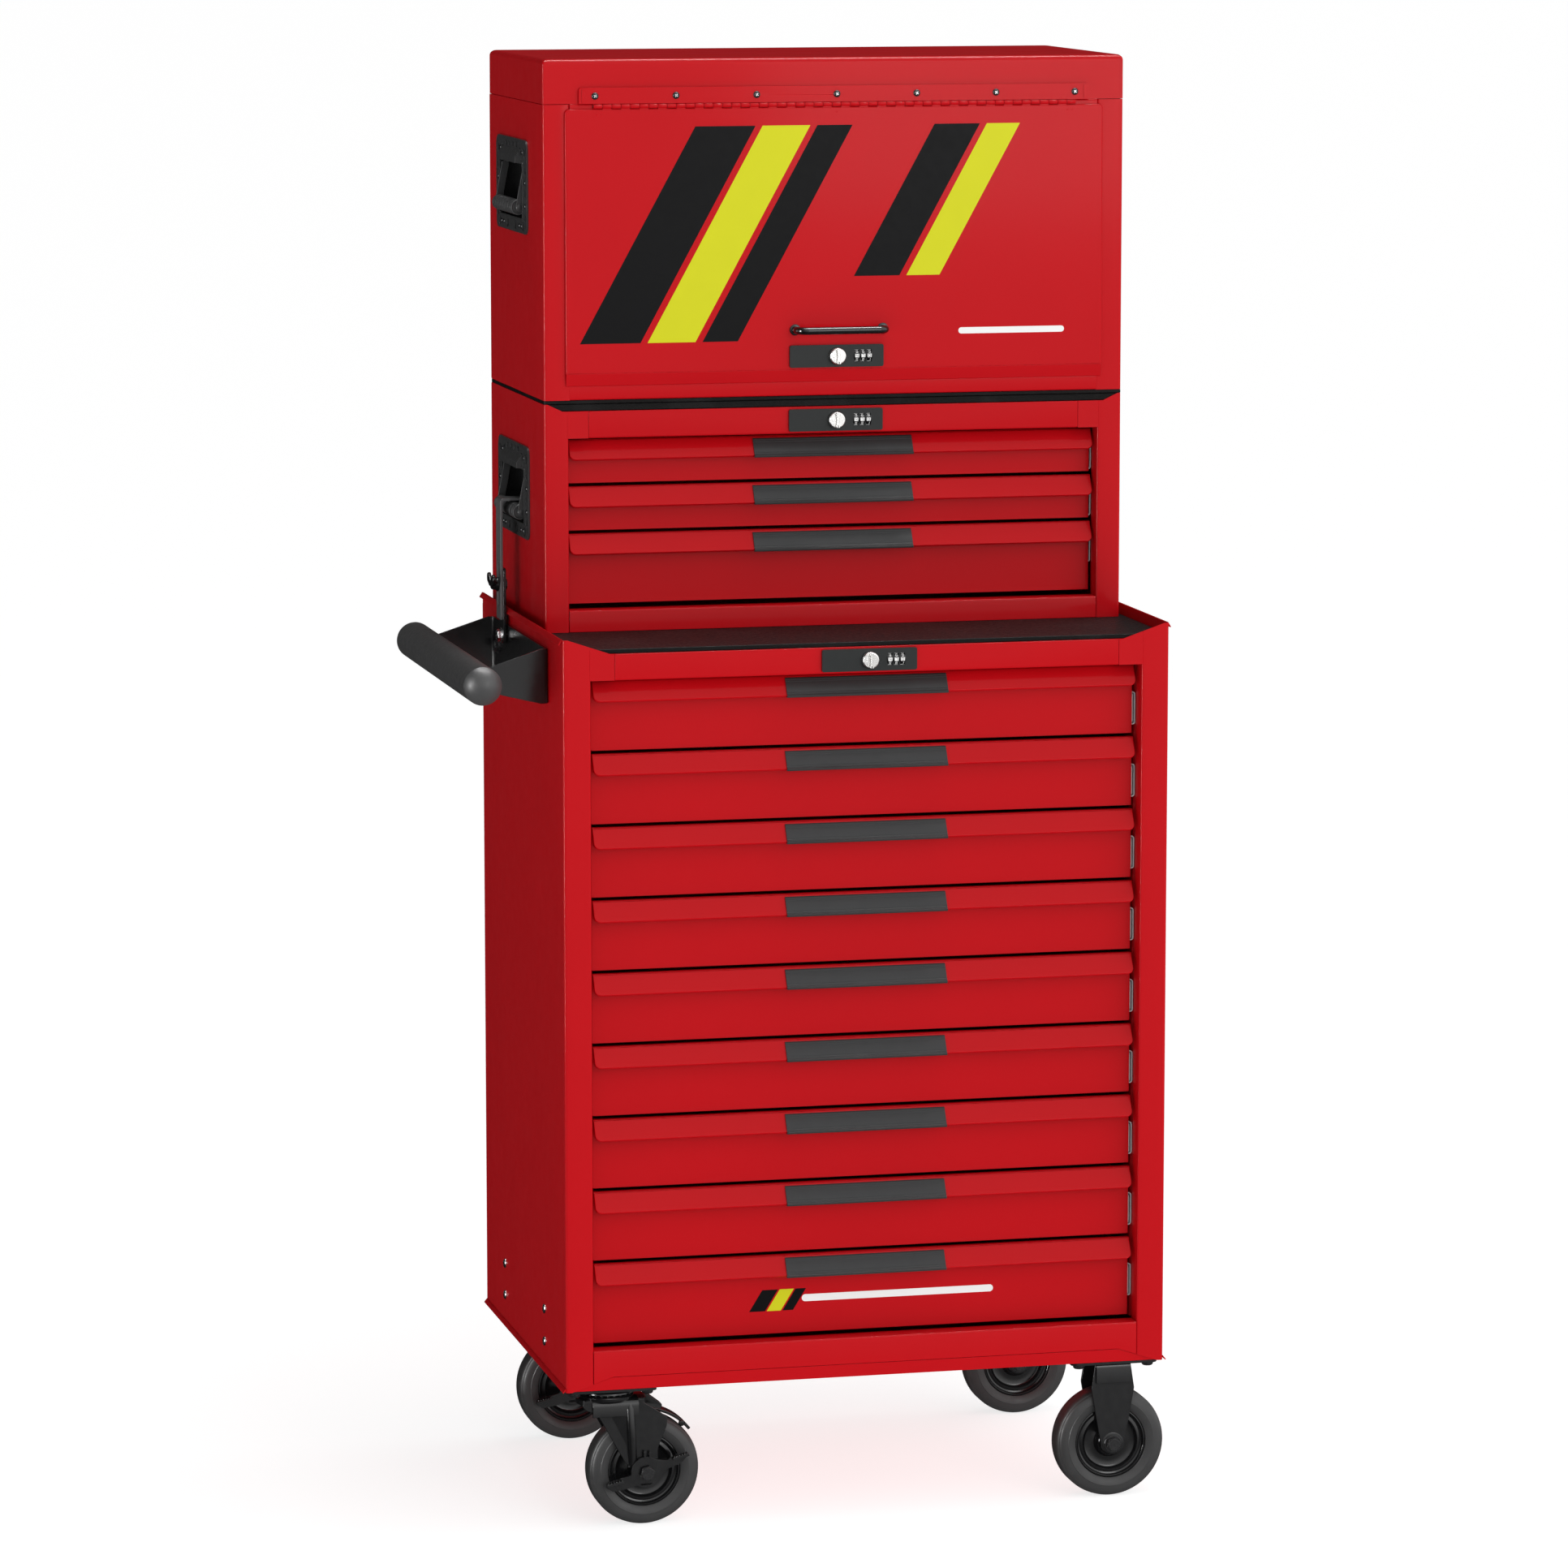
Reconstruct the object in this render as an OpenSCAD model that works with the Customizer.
// Rolling tool chest: drawer cabinet on castors, middle drawer box, top box
// with lid and drop front, push handle, securing bar, side handles and locks.
// Millimetres. +Z up, front faces -Y, push handle on the -X side.
// The origin is on the floor under the centre of the bounding box.

/* [Cabinet] */
// outside width of the roller cabinet
cab_w = 684; // [600:1:760]
// outside depth of the roller cabinet
cab_d = 460; // [400:1:520]
// height of the cabinet body, bottom edge to side lip
cab_h = 835; // [760:1:900]
// number of cabinet drawers
cab_drawers = 9; // [5:1:9]
// drawer pitch in the cabinet
cab_pitch = 81; // [70:0.5:90]
// width of the cabinet's front posts
cab_post = 31; // [24:1:40]

/* [Boxes] */
// outside width of the middle and top boxes
box_w = 660; // [600:1:700]
// outside depth of the middle and top boxes
box_d = 305; // [280:1:340]
// middle box height
mid_h = 252.8; // [230:0.2:280]
// middle box drawer pitch
mid_pitch = 52.5; // [48:0.5:60]
// top box body height, without the lid
top_h = 324; // [300:1:350]
// lid height
lid_h = 48.9; // [40:0.1:60]

/* [Sheet] */
// sheet thickness
t = 1.2; // [0.8:0.1:1.5]
// seam between welded panels
g = 0.2; // [0.1:0.05:0.3]

/* [Drawers] */
// depth of a drawer face behind the frame plane
face_back = 23; // [18:1:30]
// height of the slanted pull lip
lip_h = 22; // [18:1:26]
// length of the grip strip on the lip
grip_l = 182; // [120:1:220]

/* [Castors] */
// floor to the underside of the cabinet
castor_h = 159; // [140:1:175]
// wheel diameter
wheel_d = 125; // [100:1:130]
// tyre width
tyre_w = 36; // [30:1:40]
// swivel offset
trail = 40; // [30:1:45]

/* [Push handle] */
// grip diameter
grip_d = 42; // [32:1:45]
// grip length between the domed ends
grip_len = 414; // [300:1:430]
// distance of the grip's axis outside the cabinet's side
grip_out = 83.5; // [70:0.5:95]

/* [Hidden] */
$fn = 48;
e = 0.01;
hw = cab_w/2;
bw = box_w/2;
yb = cab_d;                  // common back plane
yf = cab_d - box_d;          // front plane of the boxes
z_open0 = 45.6;              // cabinet drawer opening
z_open1 = 789;
deck_z = 818;
mat_z = 823;
z_mid = mat_z + g;
z_midtop = z_mid + mid_h;    // lip of the middle box
mdeck_z = z_midtop - 8;
mopen0 = z_mid + 24;
mopen1 = z_midtop - 38;
z_topb = z_midtop + 4.2;
z_seam = z_topb + top_h;
z_lid0 = z_seam + 0.6;
z_lid1 = z_lid0 + lid_h;
oph = hw - cab_post;         // half width of the cabinet opening
mpost = 27.5;
moph = bw - mpost;
tpost = 30;
toph = bw - tpost;
lip_out = 3.8;
wy1 = 35;                    // wheel planes
wy2 = yb - 30;
wx_fix = 287.5;
sw_x = -290;
wr = wheel_d/2;
wz = wr - castor_h;          // axle height in the cabinet's datum
knob_y = 11;                 // how far a knob stands in front of its plate
plate_t = 3;
gx = -(hw + grip_out);       // push grip axis
gz = 784;
x_lo = gx - grip_d/2;
x_hi = max(hw + lip_out + g, wx_fix + wr);
y_lo = -(plate_t + knob_y);
ox = (x_lo + x_hi)/2;
y_hi = yb + 6.4;             // back of the lid hinge's knuckles
oy = (y_lo + y_hi)/2;
hy = yf + 169;               // side handle centre
hz_mid = z_mid + 145.8;
hz_top = z_topb + 229;
bar_y = 308;                 // securing bar
fl_ax_y = yf - 2.7;          // flap hinge axis
fl_ax_z = z_seam - 2.2;
fl_top = fl_ax_z - 2.8;
fl_bot = z_topb + 15.2;
flh = 305.8;                 // half width of the flap
fp = 3.6;                    // how far the flap stands in front of the frame
n_kn = 53;
kn_l = 548/n_kn;
n_rk = 13;
rk_l = 598/n_rk;
rh_y = yb + 3.4;             // lid hinge axis
rh_z = z_seam + 0.3;
slide_h = 45;
mslide_h = 30;

module W() translate([-ox, -oy, castor_h]) children();
// box from corner to corner
module bx(a, b) translate(a) cube(b - a);
// plate in the XZ plane with its front at y, thickness th
module xz(y, th) translate([0, y + th, 0]) rotate([90, 0, 0]) linear_extrude(th) children();
// profile drawn in Y and Z, drawn out along X
module yzx(x0, x1) translate([x0, 0, 0]) rotate([90, 0, 90]) linear_extrude(x1 - x0) children();
// profile drawn in X and Z, drawn out along Y
module xzy(y0, y1) translate([0, y1, 0]) rotate([90, 0, 0]) linear_extrude(y1 - y0) children();
module ycyl(r, y0, y1, x, z, f = 48) translate([x, y0, z]) rotate([-90, 0, 0]) cylinder(r = r, h = y1 - y0, $fn = f);
module xcyl(r, x0, x1, y, z, f = 48) translate([x0, y, z]) rotate([0, 90, 0]) cylinder(r = r, h = x1 - x0, $fn = f);
module both() { children(); mirror([1, 0, 0]) children(); }

// ---------- roller cabinet ----------
module cabinet_shell() color([0.62, 0.05, 0.06]) W() {
  both() {
    // side panel, post, lip, bottom flange, slide uprights
    bx([-hw, t + g, t + g], [-hw + t, yb - t - g, cab_h - 2]);
    linear_extrude(z_open1) polygon([[-hw, 0], [-oph, 0], [-oph, 22], [-oph - t, 22], [-oph - t, t], [-hw, t]]);
    xz(0, t) polygon([[-hw, z_open1 + g], [-284.5, z_open1 + g], [-284.5, deck_z], [-289, deck_z], [-336, cab_h - 1], [-hw, cab_h - 1]]);
    xzy(6, yb) polygon([[-hw - g, cab_h], [-hw - g - lip_out, cab_h - 5.5], [-hw - g - lip_out + 0.9, cab_h - 6.4], [-hw - g, cab_h - 1.7]]);
    xzy(0, yb) polygon([[-hw - g, 5], [-hw - g - lip_out, 0.6], [-hw - g - lip_out + 0.9, -0.4], [-hw - g, 3.4]]);
    for (y = [30, 390]) bx([-hw + t + g, y, z_open0], [-oph - 2*g, y + 36, z_open1]);
  }
  // top rail with its return, bottom rail and folded strip
  difference() {
    yzx(-284.3, 284.3) polygon([[0, z_open1], [0, deck_z - g], [t, deck_z - g], [t, z_open1 + t], [20, z_open1 + t], [20, z_open1]]);
    lock_holes(0, 803.6);
  }
  yzx(-oph + g, oph - g) polygon([[0, 15.4], [0, z_open0], [20, z_open0], [20, z_open0 - t], [t, z_open0 - t], [t, 15.4]]);
  yzx(-oph + g, oph - g) polygon([[0.2, 15.2], [1.4, 15.2], [2.6, 1.4], [1.4, 1.4]]);
  // deck, bottom, back
  bx([-hw + t + g, t + g, deck_z - t], [hw - t - g, yb - t - g, deck_z]);
  bx([-hw, 3, 0], [hw, yb - t - g, t]);
  bx([-hw, yb - t, 0], [hw, yb, mat_z]);
}

module lock_holes(y, z) {
  bx([19, y - 1, z - 10], [41, y + 10, z + 10]);
  ycyl(4.1, y - 1, y + 10, 0, z);
}

// ---------- middle box ----------
module side_window(zc) {
  // side panel in four strips around the handle's recess
  z0 = $z0; z1 = $z1;
  bx([-bw, yf + t + g, z0], [-bw + t, yb - t - g, zc - 36.2]);
  bx([-bw, yf + t + g, zc + 26.2], [-bw + t, yb - t - g, z1]);
  bx([-bw, yf + t + g, zc - 36], [-bw + t, hy - 67, zc + 26]);
  bx([-bw, hy + 67, zc - 36], [-bw + t, yb - t - g, zc + 26]);
}

module middle_box_shell() color([0.62, 0.05, 0.06]) W() {
  both() {
    side_window(hz_mid, $z0 = z_mid + t + g, $z1 = z_midtop - 1.4);
    translate([0, yf, z_mid]) linear_extrude(mopen1 - z_mid) polygon([[-bw, 0], [-moph, 0], [-moph, 22], [-moph - t, 22], [-moph - t, t], [-bw, t]]);
    xz(yf, t) polygon([[-bw, mopen1 + g], [-280, mopen1 + g], [-280, mdeck_z], [-309, mdeck_z], [-326, z_midtop], [-bw, z_midtop]]);
  }
  difference() {
    yzx(-279.8, 279.8) polygon([[yf, mopen1], [yf, mdeck_z - g], [yf + t, mdeck_z - g], [yf + t, mopen1 + t], [yf + 20, mopen1 + t], [yf + 20, mopen1]]);
    lock_holes(yf, mopen1 + 15);
  }
  yzx(-moph + g, moph - g) polygon([[yf, z_mid], [yf, mopen0], [yf + 20, mopen0], [yf + 20, mopen0 - t], [yf + t, mopen0 - t], [yf + t, z_mid]]);
  bx([-bw + t + g, yf + t + g, mdeck_z - t], [bw - t - g, yb - t - g, mdeck_z]);
  bx([-bw + t + g, yf + t + g, z_mid], [bw - t - g, yb - t - g, z_mid + t]);
  bx([-bw, yb - t, z_mid], [bw, yb, z_midtop]);
}

// ---------- top box ----------
module top_box_shell() color([0.62, 0.05, 0.06]) W() {
  both() {
    side_window(hz_top, $z0 = z_topb + t + g, $z1 = z_seam);
    translate([0, yf, z_topb + 23.2]) linear_extrude(z_seam - z_topb - 23.2) polygon([[-bw, 0], [-toph, 0], [-toph, 18], [-toph - t, 18], [-toph - t, t], [-bw, t]]);
  }
  bx([-bw, yf, z_topb], [bw, yf + t, z_topb + 23]);
  bx([-bw + t + g, yf + t - e, z_topb + 23 - t], [bw - t - g, yf + 12, z_topb + 23]);
  bx([-toph + g, yf + 0.4, z_seam - 5.8], [toph - g, yf + 0.4 + t, z_seam - g]);
  bx([-bw + t + g, yf + t + g, z_topb], [bw - t - g, yb - t - g, z_topb + t]);
  bx([-bw, yb - t, z_topb], [bw, yb, z_seam]);
  // lower half of the lid hinge
  for (i = [1:2:n_rk - 2]) rear_knuckle(i, -1, 1.45);
}
module rear_knuckle(i, s, r) {
  x0 = -299 + i*rk_l + 0.2; x1 = -299 + (i + 1)*rk_l - 0.2;
  difference() {
    union() {
      xcyl(3, x0, x1, rh_y, rh_z);
      if (s > 0) bx([x0, yb + g, rh_z], [x1, yb + 1.4, rh_z + 20]);
      else bx([x0, yb + g, rh_z - 20], [x1, yb + 1.4, rh_z]);
    }
    xcyl(r, x0 - 1, x1 + 1, rh_y, rh_z);
  }
}

module top_mats() color([0.06, 0.06, 0.065]) W() {
  bx([-hw + t + 2, t + 1.5, deck_z + g], [hw - t - 2, yf - 0.3, mat_z]);
  bx([-hw + t + 2, yf - 0.1, deck_z + g], [hw - t - 2, yb - t - 1.5, mat_z]);
  bx([-bw + t + 0.5, yf + t + 0.5, mdeck_z + g], [bw - t - 0.5, yb - t - 0.5, z_midtop - 0.2]);
  bx([-bw, yf, z_midtop + g], [bw, yb, z_topb - g]);
}

// ---------- slides ----------
module slide_fixed(x, y0, y1, zc, h) {
  // channel open towards the drawer, on the left side
  bx([x, y0, zc - h/2], [x + 1.2, y1, zc + h/2]);
  bx([x + e, y0, zc - h/2], [x + 9, y1, zc - h/2 + 1.2]);
  bx([x + e, y0, zc + h/2 - 1.2], [x + 9, y1, zc + h/2]);
}
module slide_moving(x, y0, y1, zc, h) {
  // channel open towards the cabinet side, nested in the fixed one
  bx([x - 1.2, y0, zc - h/2 + 2.4], [x, y1, zc + h/2 - 2.4]);
  bx([x - 9, y0, zc - h/2 + 2.4], [x - e, y1, zc - h/2 + 3.6]);
  bx([x - 9, y0, zc + h/2 - 3.6], [x - e, y1, zc + h/2 - 2.4]);
}
function cz(i) = z_open1 - 2 - cab_pitch*i;
function mz(i) = mopen1 - 2.5 - mid_pitch*i;

module fixed_drawer_slides() color([0.72, 0.73, 0.75]) W() both() {
  for (i = [0:cab_drawers - 1]) slide_fixed(-oph, 27, 427, cz(i) - 52, slide_h);
  for (i = [0:2]) slide_fixed(-moph, yf + 27, yf + 277, mz(i) - 33, mslide_h);
}

// ---------- drawers ----------
// y0: frame plane, zt: top of the lip, w: half width of the face,
// h: height of the face, wt: half width of the tray, d: tray back
module drawer(y0, zt, w, h, wt, y1, so, sh, sd) {
  yq = y0 + face_back;
  // face
  bx([-w, yq, zt - h], [w, yq + t, zt - t - g]);
  // ledge and slanted lip with a turned edge
  yzx(-w, w) polygon([[yq + t, zt], [yq + t, zt - t], [yq - 4.2, zt - t], [y0 + 7.2, zt - lip_h + 1.8], [y0 + 9.6, zt - lip_h + 1.8], [y0 + 9.6, zt - lip_h + 0.6], [y0 + 6.4, zt - lip_h + 0.6], [y0 + 6, zt - lip_h + 1.6], [yq - 5, zt]]);
  // tray
  yt = yq + t + g;
  zb = zt - h + 4;
  bx([-wt, yt, zb], [wt, y1, zb + 1]);
  both() bx([-wt, yt, zb + 1 + g], [-wt + 1, y1, zt - 8]);
  bx([-wt + 1 + g, y1 - 1, zb + 1 + g], [wt - 1 - g, y1, zt - 8]);
  both() slide_moving(-wt - g, y0 + 27, y0 + 27 + sd, zt - so, sh);
}
module cab_drawer(i) color([0.62, 0.05, 0.06]) W()
  drawer(0, cz(i), oph - 4.6, i == cab_drawers - 1 ? 89.5 : cab_pitch - 2.5, oph - 12.3, 432, 52, slide_h, 400);
module mid_drawer(i) color([0.62, 0.05, 0.06]) W()
  drawer(yf, mz(i), moph - 2.9, i == 2 ? 79 : mid_pitch - 2.5, moph - 12.3, yf + 282, 33, mslide_h, 250);
// charcoal grip strip that hooks over the lip's lower edge
module grip_strip(y0, zt) color([0.12, 0.12, 0.125]) W() {
  yq = y0 + face_back;
  k = (yq - 5 - (y0 + 6))/(lip_h - 1.6);
  yzx(-grip_l/2, grip_l/2) polygon([[yq - 5.2 - 3*k, zt - 3], [yq - 7.4 - 3*k, zt - 3.6], [y0 + 2.6, zt - lip_h + 1], [y0 + 3.2, zt - lip_h - 1.6], [y0 + 9.8, zt - lip_h - 1.6], [y0 + 9.8, zt - lip_h + 0.4], [y0 + 6.2, zt - lip_h + 0.4], [y0 + 5.8, zt - lip_h + 1.6]]);
}

// ---------- lid ----------
module lid() color([0.62, 0.05, 0.06]) W() {
  r = 6; zt = z_lid1; zs = zt - 7;
  intersection() {
    bx([-bw - 1, yf - 1, zs], [bw + 1, yb + 1, zt + 1]);
    difference() {
      union() {
        bx([-bw, yf, zs], [bw, yb, zt - r]);
        bx([-bw + r, yf + r, zs], [bw - r, yb - r, zt]);
        for (y = [yf + r, yb - r]) xcyl(r, -bw + r, bw - r, y, zt - r);
        for (x = [-bw + r, bw - r]) ycyl(r, yf + r, yb - r, x, zt - r);
        for (x = [-bw + r, bw - r], y = [yf + r, yb - r]) translate([x, y, zt - r]) sphere(r);
      }
      bx([-bw + r, yf + r, zs - 1], [bw - r, yb - r, zt - t]);
    }
  }
  // front skirt with the raised pad that carries the flap's hinge
  difference() {
    union() {
      bx([-bw, yf, z_lid0], [bw, yf + t, zs - g]);
      bx([-290, yf - 3.4, z_lid0], [290, yf + e, z_lid0 + 17.7]);
    }
    bx([-290 + t, yf - 3.4 + t, z_lid0 - 1], [290 - t, yf + t + 1, z_lid0 + 17.7 - t]);
    for (i = [0:6]) ycyl(2.1, yf - 5, yf + 1, -272 + i*545/6, z_lid0 + 8.5);
  }
  bx([-bw, yb - t, z_lid0 + 1], [bw, yb, zs - g]);
  both() bx([-bw, yf + t + g, z_lid0], [-bw + t, yb - t - g, zs - g]);
  // upper half of the lid hinge with its pin
  for (i = [0:2:n_rk - 1]) rear_knuckle(i, 1, 1.4);
  xcyl(1.4, -299, 299, rh_y, rh_z);
  // stiffening channels under the top
  for (x = [-160, 110]) bx([x, yf + 12, zt - 20], [x + 50, yb - 12, zt - t - g]);
}

module flap_hinge() color([0.55, 0.06, 0.06]) W() {
  // leaf inside the pad, knuckles on the lid's side with the pin, and the screws
  difference() {
    bx([-287, yf - 2, z_lid0 + 0.2], [287, yf - 0.9, z_lid0 + 15.5]);
    for (i = [0:6]) ycyl(2.1, yf - 5, yf + 1, -272 + i*545/6, z_lid0 + 8.5);
  }
  for (i = [0:2:n_kn - 1]) {
    xcyl(2.5, -274 + i*kn_l + 0.2, -274 + (i + 1)*kn_l - 0.2, fl_ax_y, fl_ax_z);
    bx([-274 + i*kn_l + 0.2, yf - 2, fl_ax_z], [-274 + (i + 1)*kn_l - 0.2, yf - 0.9, z_lid0 + 0.2 + e]);
  }
  xcyl(1.2, -274, 274, fl_ax_y, fl_ax_z);
  for (i = [0:6]) {
    ycyl(3.9, yf - 5.4, yf - 3.4 - g, -272 + i*545/6, z_lid0 + 8.5);
    ycyl(1.9, yf - 3.4 - g - e, yf, -272 + i*545/6, z_lid0 + 8.5);
  }
}

module front_flap() color([0.62, 0.05, 0.06]) W() {
  difference() {
    union() {
      // sheet with its turned edges and the folded lower band
      bx([-flh, yf - fp, fl_bot + 14], [flh, yf - fp + t, fl_top]);
      yzx(-flh, flh) polygon([[yf - fp, fl_bot + 14 + e], [yf - fp + t, fl_bot + 14 + e], [yf - 0.6, fl_bot + 1], [yf - 0.6, fl_bot], [yf - 1.4, fl_bot]]);
      both() bx([-flh, yf - fp + t - e, fl_bot + 14], [-flh + t, yf - 0.4, fl_top - 4]);
    }
    bx([18, yf - 6, z_topb + 34], [42, yf + 10, z_topb + 54]);
    ycyl(4.1, yf - 6, yf + 10, 0, z_topb + 44);
    for (x = [-47, 53]) ycyl(2.7, yf - 6, yf + 5, x, z_topb + 73.5);
  }
  for (i = [1:2:n_kn - 2]) difference() {
    union() {
      xcyl(2.5, -274 + i*kn_l + 0.2, -274 + (i + 1)*kn_l - 0.2, fl_ax_y, fl_ax_z);
      bx([-274 + i*kn_l + 0.2, yf - fp + 0.2, fl_top - 3], [-274 + (i + 1)*kn_l - 0.2, yf - 1.6, fl_ax_z - 1.3]);
    }
    xcyl(1.25, -280, 280, fl_ax_y, fl_ax_z);
  }
}

module flap_pull() color([0.08, 0.08, 0.085]) W() {
  z = z_topb + 73.5;
  y = yf - fp - 21;
  xcyl(4.2, -47, 53, y, z);
  for (x = [-47, 53]) {
    translate([x, y, z]) sphere(4.2);
    ycyl(4.2, y, yf - fp - g, x, z);
    ycyl(2.6, yf - fp - g - e, yf + 2, x, z);
  }
}

// ---------- locks ----------
module lock_plate(y, z) {
  difference() {
    bx([-53.5, y - plate_t, z - 12.3], [53.5, y - g, z + 12.3]);
    bx([19, y - 5, z - 8], [41, y + 1, z + 8]);
    ycyl(4.1, y - 5, y + 1, 0, z);
  }
}
module lock_plates() color([0.07, 0.07, 0.075]) W() {
  lock_plate(0, 803.6);
  lock_plate(yf, mopen1 + 15);
}
module flap_lock_plate() color([0.07, 0.07, 0.075]) W() lock_plate(yf - fp, z_topb + 44);
module lock_knob(y, z) color([0.72, 0.72, 0.72]) W() {
  ycyl(9.2, y - plate_t - 7.5, y - plate_t - 0.3, 0, z);
  ycyl(8, y - plate_t - 8.5, y - plate_t - 7.5 + e, 0, z);
  bx([-1.8, y - plate_t - knob_y, z - 7.6], [1.8, y - plate_t - 8.4, z + 7.6]);
  ycyl(4, y - plate_t - 0.3 - e, y + 8, 0, z);
}
module number_wheels(y, z) color([0.05, 0.05, 0.055]) W()
  for (i = [0:2]) difference() {
    xcyl(7.4, 19.6 + i*7.1, 19.6 + i*7.1 + 6.6, y + 3, z);
    xcyl(1.5, 10, 50, y + 3, z);
  }
module knob_cabinet() lock_knob(0, 803.6);
module knob_middle() lock_knob(yf, mopen1 + 15);
module knob_flap() lock_knob(yf - fp, z_topb + 44);
module wheels_cabinet_lock() number_wheels(0, 803.6);
module wheels_middle_lock() number_wheels(yf, mopen1 + 15);
module wheels_flap_lock() number_wheels(yf - fp, z_topb + 44);

// ---------- side handles ----------
piv_x = bw - 3;              // bail pivot, measured from the middle plane
piv_z = 20;
module handle_plate(zc) {
  // plate in four strips round the window
  difference() {
    union() {
      bx([-bw - 1.8, hy - 88, zc + 26], [-bw - g, hy + 88, zc + 52]);
      bx([-bw - 1.8, hy - 88, zc - 52], [-bw - g, hy + 88, zc - 36]);
      for (y = [hy - 88, hy + 66.2]) bx([-bw - 1.8, y, zc - 35.8], [-bw - g, y + 21.8, zc + 25.8]);
    }
    for (y = [hy - 88, hy + 88], z = [zc - 52, zc + 52]) translate([-bw - 1, y, z]) rotate([45, 0, 0]) cube([6, 12, 12], center = true);
  }
  // recessed pan
  x0 = -bw - g; x1 = -bw + 21;
  bx([x1 + g, hy - 66, zc - 35.8], [x1 + 1.2, hy + 66, zc + 25.8]);
  bx([x0 + 0.4, hy - 64.6, zc - 35.8], [x1, hy + 64.6, zc - 34.8]);
  bx([x0 + 0.4, hy - 64.6, zc + 24.8], [x1, hy + 64.6, zc + 25.8]);
  for (y = [hy - 66, hy + 64.8]) difference() {
    bx([x0 + 0.4, y, zc - 35.8], [x1, y + 1.2, zc + 25.8]);
    ycyl(2.6, y - 1, y + 3, -piv_x, zc + piv_z);
  }
}
module side_handle_plates() color([0.09, 0.09, 0.095]) W() for (z = [hz_mid, hz_top]) both() handle_plate(z);
module bail(zc) color([0.08, 0.08, 0.085]) W() {
  gxx = -bw - 5; gzz = zc - 23;
  for (s = [-1, 1]) {
    ya = hy + s*60 - 1.5;
    xzy(ya, ya + 3) polygon([[-piv_x - 4, zc + piv_z], [-piv_x - 2.8, zc + piv_z + 2.8], [-piv_x, zc + piv_z + 4], [-piv_x + 2.8, zc + piv_z + 2.8], [-piv_x + 4, zc + piv_z], [gxx + 4, gzz], [gxx + 2.8, gzz - 2.8], [gxx, gzz - 4], [gxx - 2.8, gzz - 2.8], [gxx - 4, gzz]]);
    ycyl(2.5, s > 0 ? ya + 3 - e : ya - 4.4, s > 0 ? ya + 7.4 : ya + e, -piv_x, zc + piv_z);
  }
  ycyl(3, hy - 58.5 - e, hy + 58.5 + e, gxx, gzz);
  difference() {
    ycyl(8.5, hy - 56, hy + 56, gxx, gzz);
    ycyl(3 + g, hy - 57, hy + 57, gxx, gzz);
  }
}
module bail_middle_left() bail(hz_mid);
module bail_top_left() bail(hz_top);
module bail_middle_right() translate([-2*ox, 0, 0]) mirror([1, 0, 0]) bail(hz_mid);
module bail_top_right() translate([-2*ox, 0, 0]) mirror([1, 0, 0]) bail(hz_top);

// ---------- push handle and securing bar ----------
module push_handle_bracket() color([0.05, 0.05, 0.055]) W() {
  x0 = -hw - g;
  bx([x0 - 3, 76 + 3 + g, 756], [x0, 382 - 3 - g, 815.5]);
  for (y = [76, 379]) difference() {
    xz(y, 3) polygon([[x0, 815.8], [gx + 16, 796], [gx + 16, 770.5], [x0, 755.7]]);
    ycyl(grip_d/2 + g, y - 1, y + 4, gx, gz);
  }
  // lower slotted bar, outside the lip
  difference() {
    bx([-hw - 7.2, bar_y - 12.5, 795], [-hw - 4.2, bar_y + 12.5, 880]);
    bx([-hw - 8, bar_y - 3.6, 842], [-hw - 3, bar_y + 3.6, 872]);
    xcyl(4.1, -hw - 8, -hw - 3, bar_y, 803);
  }
  xcyl(4, -hw - 7.2, -hw - 3.2 - g, bar_y, 803);
  xcyl(7.5, -hw - 12, -hw - 7.2 - g, bar_y, 803, 6);
}
module push_handle_grip() color([0.10, 0.10, 0.105]) W() {
  r = grip_d/2; h = 12.38;
  rd = (r*r + h*h)/(2*h);      // radius of the domed ends
  am = asin(r/rd);
  translate([gx, (76 + 382 - grip_len)/2, gz]) rotate([-90, 0, 0]) rotate_extrude() polygon(concat(
    [for (i = [0:6]) [rd*sin(i*am/6), rd - h - rd*cos(i*am/6)]],
    [for (i = [6:-1:0]) [rd*sin(i*am/6), grip_len + h - rd + rd*cos(i*am/6)]]));
}
hook_z = hz_mid - 23 + 8.5;
module securing_bar() color([0.09, 0.09, 0.095]) W() {
  difference() {
    bx([-hw - 10.6, bar_y - 12.5, 822], [-hw - 7.6, bar_y + 12.5, hook_z + 4.6]);
    bx([-hw - 12, bar_y - 3.6, 836], [-hw - 7, bar_y + 3.6, 887]);
  }
  bx([-hw - 7.6 - e, bar_y - 10, hook_z + 1.6], [-bw + 8.2, bar_y + 10, hook_z + 4.6]);
  bx([-bw + 5, bar_y - 10, hook_z - 9], [-bw + 8.2, bar_y + 10, hook_z + 1.6 + e]);
}
module wing_bolt() color([0.08, 0.08, 0.085]) W() {
  x = -hw - 10.6; z = 861;
  xcyl(3.2, x - 2, -hw - 1.2, bar_y, z);
  xcyl(8, x - 9, x - 0.4, bar_y, z);
  for (s = [-1, 1]) translate([x - 6, bar_y, z]) rotate([s*25, 0, 0]) translate([-5, s > 0 ? 5 : -21, -3.5]) cube([4, 16, 7]);
}

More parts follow.
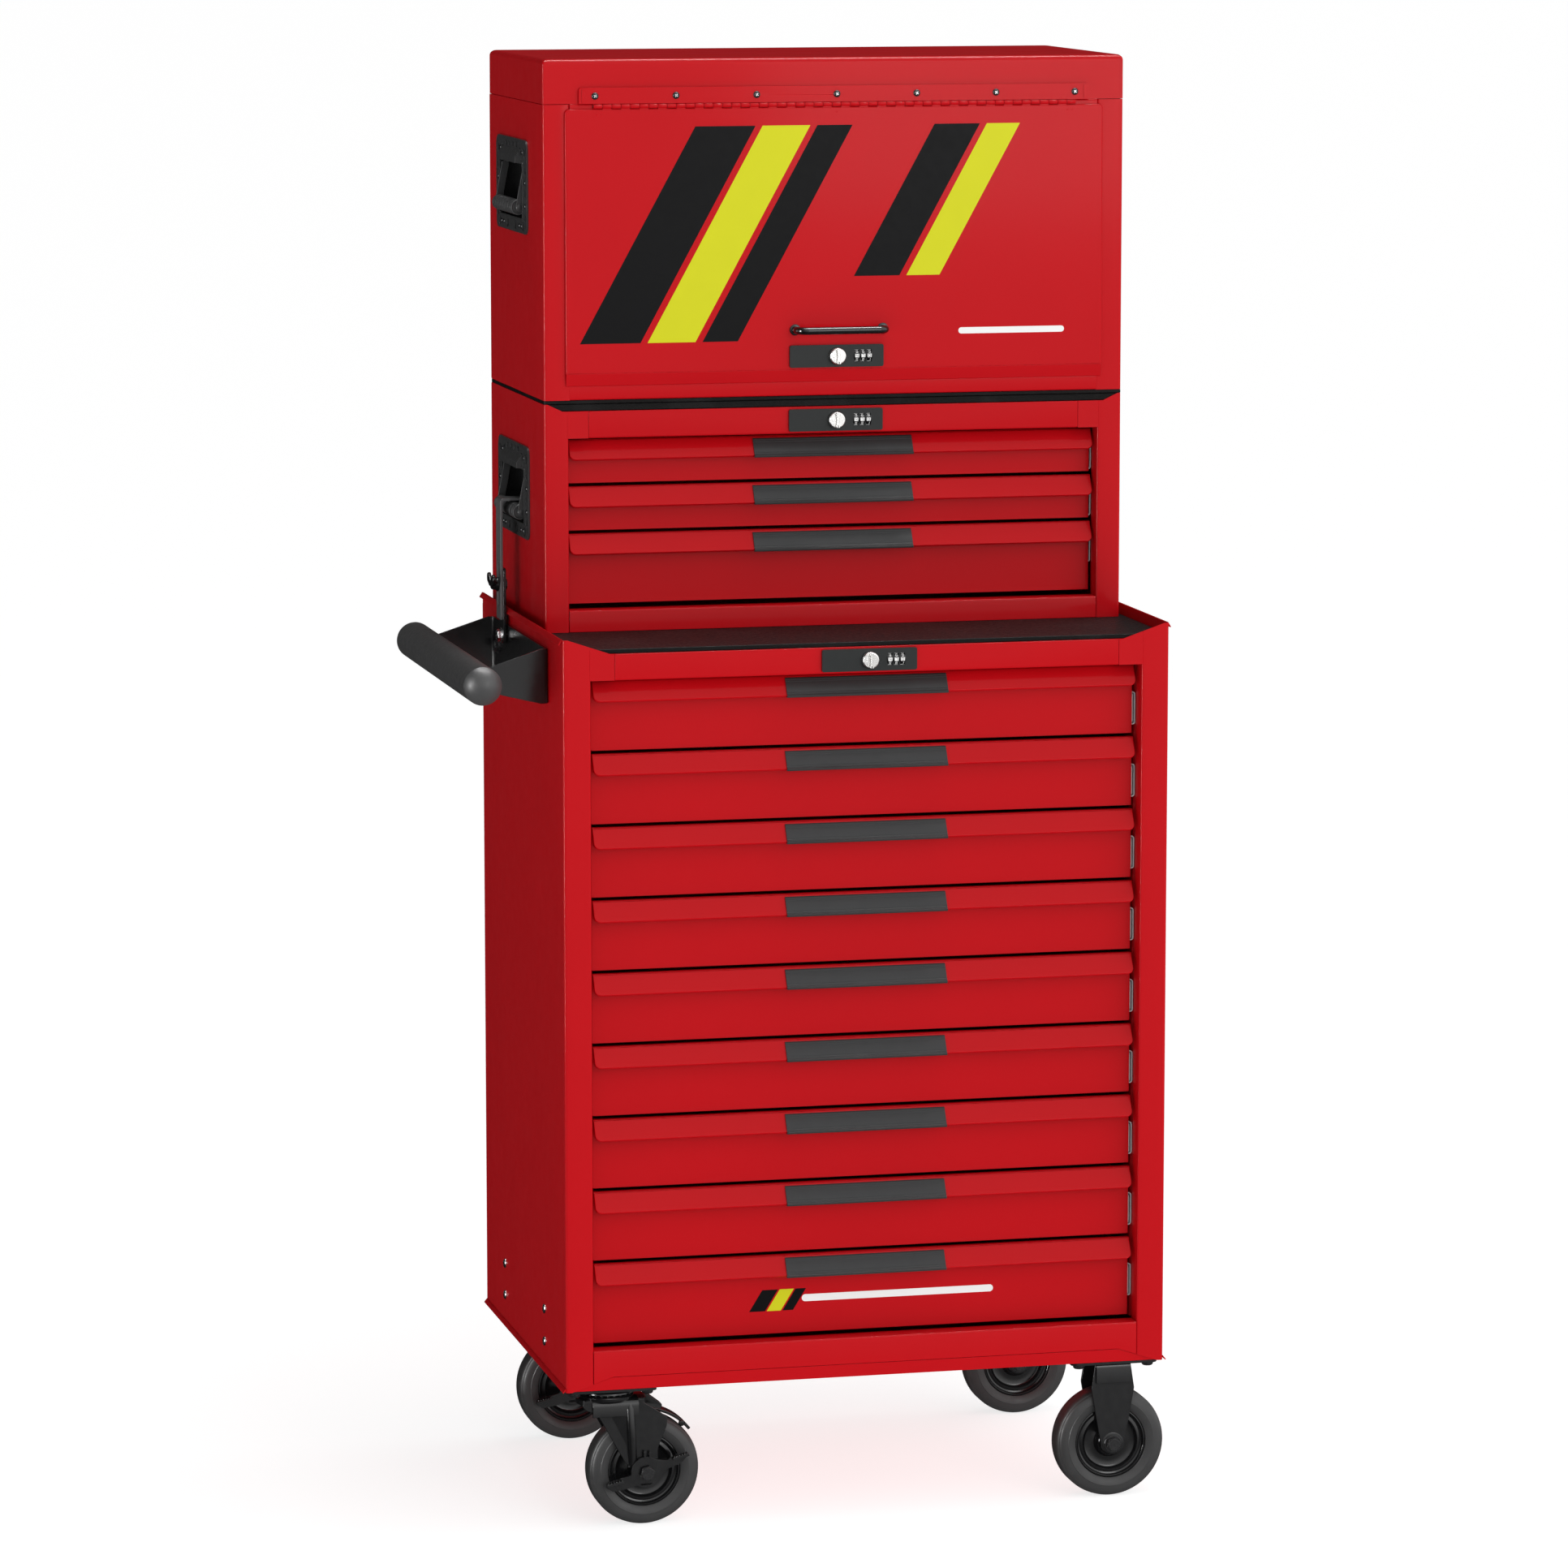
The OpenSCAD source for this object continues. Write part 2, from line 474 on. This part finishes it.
// ---------- castors ----------
module castor_frames() color([0.05, 0.05, 0.055]) W() {
  for (y = [wy1, wy2]) {
    // swivel: plate, race and king pin
    difference() {
      bx([sw_x - 50, y - 31, -3.2], [sw_x + 52, y + 29, -g]);
      for (sx = [-40, 42], sy = [-22, 20]) translate([sw_x + sx, y + sy, -5]) cylinder(r = 4.2, h = 8);
    }
    translate([sw_x, y, -7.5]) cylinder(r = 27, h = 4.3 + e);
    translate([sw_x, y, -20]) cylinder(r = 6, h = 12.5 + e);
    translate([sw_x, y, -24]) cylinder(r = 9.5, h = 4 + e);
    // fixed: plate, two legs and the axle
    difference() {
      bx([wx_fix - 50, y - 31, -3.2], [wx_fix + 50, y + 29, -g]);
      for (sx = [-40, 40], sy = [-22, 20]) translate([wx_fix + sx, y + sy, -5]) cylinder(r = 4.2, h = 8);
    }
    for (s = [0, 1]) xz(y + (s ? tyre_w/2 + 1.5 : -tyre_w/2 - 4.5), 3) difference() {
      union() {
        polygon([[wx_fix - 20.5, -3.4], [wx_fix - 25, -33], [wx_fix - 20, -62], [wx_fix - 14, wz], [wx_fix + 14, wz], [wx_fix + 20, -62], [wx_fix + 25, -33], [wx_fix + 20.5, -3.4]]);
        translate([wx_fix, wz]) circle(r = 14);
      }
      translate([wx_fix, wz]) circle(r = 5.1);
    }
    ycyl(5, y - tyre_w/2 - 7, y + tyre_w/2 + 9, wx_fix, wz);
    ycyl(8.6, y - tyre_w/2 - 11, y - tyre_w/2 - 7 + e, wx_fix, wz, 6);
    ycyl(8.6, y + tyre_w/2 + 5, y + tyre_w/2 + 10, wx_fix, wz, 6);
  }
}
module swivel_fork(y) color([0.06, 0.06, 0.065]) W() {
  ax = sw_x + trail;
  difference() {
    union() {
      translate([sw_x, y, -13.5]) cylinder(r = 29, h = 5.7);
      translate([sw_x - 30, y - 22.5, -17]) cube([70, 45, 3.5 + e]);
    }
    translate([sw_x, y, -30]) cylinder(r = 6.05, h = 30);
    translate([sw_x, y, -30]) cylinder(r = 10, h = 13.4);
  }
  for (s = [0, 1]) xz(y + (s ? tyre_w/2 + 1.5 : -tyre_w/2 - 4.5), 3) difference() {
    union() {
      polygon([[sw_x - 28, -13.6], [sw_x - 26, -19], [sw_x - 14, -22], [sw_x + 19, -86], [ax - 14, wz], [ax + 14, wz], [ax + 14, -74], [ax + 24, -34], [ax + 12, -28], [sw_x + 36, -13.6]]);
      translate([ax, wz]) circle(r = 14);
    }
    translate([ax, wz]) circle(r = 5.1);
  }
  ycyl(5, y - tyre_w/2 - 13, y + tyre_w/2 + 9, ax, wz);
  ycyl(8.6, y - tyre_w/2 - 16.5, y - tyre_w/2 - 13 + e, ax, wz, 6);
  ycyl(8.6, y + tyre_w/2 + 5, y + tyre_w/2 + 10, ax, wz, 6);
}
module swivel_fork_front() swivel_fork(wy1);
module swivel_fork_rear() swivel_fork(wy2);
module wheel(x, y) color([0.09, 0.09, 0.09]) W() translate([x, y, wz]) rotate([-90, 0, 0]) {
  w = tyre_w/2;
  difference() {
    rotate_extrude($fn = 96) polygon([[42, -w + 3], [46, -w], [54, -w + 0.6], [59.5, -w + 4], [wr, -w + 10], [wr, w - 10], [59.5, w - 4], [54, w - 0.6], [46, w], [42, w - 3]]);
    cylinder(r = 41, h = 100, center = true, $fn = 96);
  }
  difference() {
    union() {
      cylinder(r = 40.9, h = 2*w - 6, center = true, $fn = 96);
      cylinder(r = 12, h = 2*w, center = true);
    }
    for (s = [-1, 1]) translate([0, 0, s*(w - 3)]) difference() {
      cylinder(r = 34, h = 14, center = true, $fn = 96);
      cylinder(r = 17, h = 15, center = true);
    }
    cylinder(r = 5.05, h = 100, center = true);
  }
}
module wheel_front_left() wheel(sw_x + trail, wy1);
module wheel_rear_left() wheel(sw_x + trail, wy2);
module wheel_front_right() wheel(wx_fix, wy1);
module wheel_rear_right() wheel(wx_fix, wy2);
module brake_lever(y) color([0.05, 0.05, 0.055]) W() {
  ax = sw_x + trail; y0 = y - tyre_w/2 - 10;
  difference() {
    union() {
      ycyl(17, y0, y0 + 3.5, ax, wz);
      xz(y0, 3.5) polygon([[ax - 6, wz + 16], [ax + 40, wz + 22], [ax + 44, wz + 12], [ax + 10, wz - 14], [ax - 38, wz - 18], [ax - 44, wz - 8]]);
    }
    ycyl(5.06, y0 - 1, y0 + 5, ax, wz);
  }
  translate([ax + 29, y0 - 8, wz + 15]) rotate([0, -8, 0]) cube([18, 8.2, 5]);
  translate([ax - 47, y0 - 8, wz - 11]) rotate([0, -8, 0]) cube([18, 8.2, 5]);
}
module brake_lever_front() brake_lever(wy1);
module brake_lever_rear() brake_lever(wy2);

// ---------- fasteners ----------
module fasteners() color([0.12, 0.12, 0.12]) W() {
  // castor bolts
  for (y = [wy1, wy2], sy = [-22, 20]) {
    for (x = [sw_x - 40, sw_x + 42, wx_fix - 40, wx_fix + 40]) translate([x, y + sy, -7.2]) { cylinder(r = 7, h = 3.8); cylinder(r = 4, h = 6.9); }
  }
  // nut behind the lower slotted bar
  difference() { xcyl(6.5, -hw - 4, -hw - 1.4, bar_y, 861, 6); xcyl(3.26, -hw - 5, -hw, bar_y, 861); }
  // screws in the cabinet side over the castors
  both() for (p = [[118, 69], [118, 32], [347, 71], [347, 34]]) xcyl(5, -hw - 2.4, -hw - g, p[0], p[1]);
}

cabinet_shell();
middle_box_shell();
top_box_shell();
top_mats();
fixed_drawer_slides();
push_handle_bracket();
push_handle_grip();
securing_bar();
side_handle_plates();
lock_plates();
castor_frames();
fasteners();
lid();
flap_hinge();
front_flap();
flap_pull();
flap_lock_plate();
knob_cabinet();
knob_middle();
knob_flap();
wheels_cabinet_lock();
wheels_middle_lock();
wheels_flap_lock();
bail_middle_left();
bail_top_left();
bail_middle_right();
bail_top_right();
swivel_fork_front();
swivel_fork_rear();
wheel_front_left();
wheel_rear_left();
wheel_front_right();
wheel_rear_right();
brake_lever_front();
brake_lever_rear();
wing_bolt();
cab_drawer(0);  // drawer_c1
cab_drawer(1);  // drawer_c2
cab_drawer(2);  // drawer_c3
cab_drawer(3);  // drawer_c4
cab_drawer(4);  // drawer_c5
cab_drawer(5);  // drawer_c6
cab_drawer(6);  // drawer_c7
cab_drawer(7);  // drawer_c8
cab_drawer(8);  // drawer_c9
mid_drawer(0);  // drawer_m1
mid_drawer(1);  // drawer_m2
mid_drawer(2);  // drawer_m3
grip_strip(0, cz(0));  // grip_c1
grip_strip(0, cz(1));  // grip_c2
grip_strip(0, cz(2));  // grip_c3
grip_strip(0, cz(3));  // grip_c4
grip_strip(0, cz(4));  // grip_c5
grip_strip(0, cz(5));  // grip_c6
grip_strip(0, cz(6));  // grip_c7
grip_strip(0, cz(7));  // grip_c8
grip_strip(0, cz(8));  // grip_c9
grip_strip(yf, mz(0));  // grip_m1
grip_strip(yf, mz(1));  // grip_m2
grip_strip(yf, mz(2));  // grip_m3
